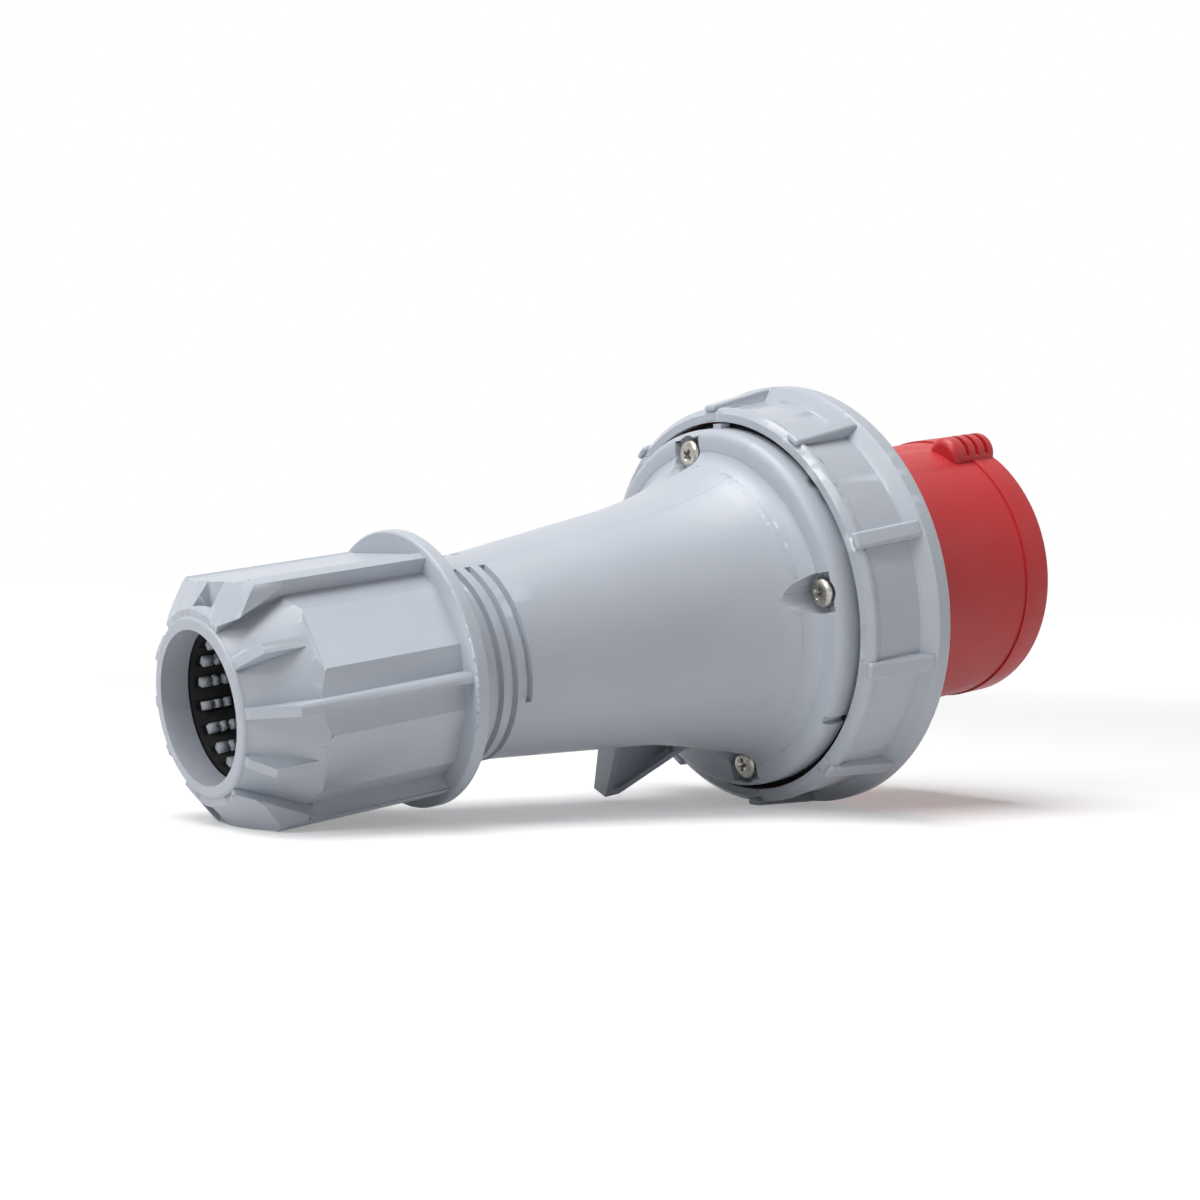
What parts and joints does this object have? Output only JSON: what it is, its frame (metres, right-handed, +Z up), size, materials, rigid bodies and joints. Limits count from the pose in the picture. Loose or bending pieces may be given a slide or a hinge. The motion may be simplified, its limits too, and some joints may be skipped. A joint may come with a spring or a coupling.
{
  "type": "industrial power plug",
  "caption": "Round straight power plug: ribbed cable gland nut, tapered grey housing, bayonet locking ring and red contact shroud with key and five round pins.",
  "frame": {"origin": "on the table, under the middle of the plug's outer box", "axes": "+Z up from the table; +X level, from the cable mouth towards the pins; the plug's own axis lies in the XZ plane and rises 9.44 degrees towards the pins, as it lies on a flat grip pad of its gland nut and on the wider front rim of its locking ring; that pad faces straight down, which turns the key 22.6 degrees from straight up towards -Y"},
  "size_m": [0.2408, 0.1098, 0.1093],
  "materials": {
    "grey_plastic": "moulded polyamide, light grey, fine satin",
    "clamp_plastic": "moulded polyamide, light grey",
    "red_plastic": "moulded polyamide, signal red, satin",
    "black_plastic": "moulded insulator, black",
    "black_rubber": "soft black rubber",
    "steel": "bright zinc-plated steel",
    "nickel_brass": "nickel-plated brass, turned"
  },
  "bodies": {
    "plug_body": {"housing": "grey_plastic", "flange_screws": "steel", "flange_gasket": "black_rubber", "contact_shroud": "red_plastic", "pin_carrier": "black_plastic", "retainer_plate": "black_plastic", "retainer_screws": "steel", "terminal_screws": "steel", "face_gasket": "black_rubber", "pin_earth": "nickel_brass", "pin_l1": "nickel_brass", "pin_l2": "nickel_brass", "pin_l3": "nickel_brass", "pin_neutral": "nickel_brass", "pin_pilot": "nickel_brass"},
    "ring": {"locking_ring": "grey_plastic"},
    "clamp": {"slip_ring": "clamp_plastic", "clamp_cage": "clamp_plastic", "seal_sleeve": "black_rubber"},
    "nut": {"gland_nut": "grey_plastic"}
  },
  "joints": [
    {"name": "ring_turn", "type": "hinge", "parent": "plug_body", "child": "ring", "pos_m": [0.03456, 0, 0.05132], "axis": [0.9865, 0, 0.164], "range_deg": [0, 45]},
    {"name": "clamp_slide", "type": "slide", "parent": "plug_body", "child": "clamp", "axis": [0.9865, 0, 0.164], "range_m": [-0.0225, 0.0085]},
    {"name": "nut_turn", "type": "hinge", "parent": "clamp", "child": "nut", "pos_m": [-0.11716, 0, 0.0261], "axis": [0.9865, 0, 0.164], "range_deg": [-1980, 720]}
  ],
  "couplings": [
    {"joint": "clamp_slide", "follows": "nut_turn", "m_per_rad": 0.00063662}
  ]
}
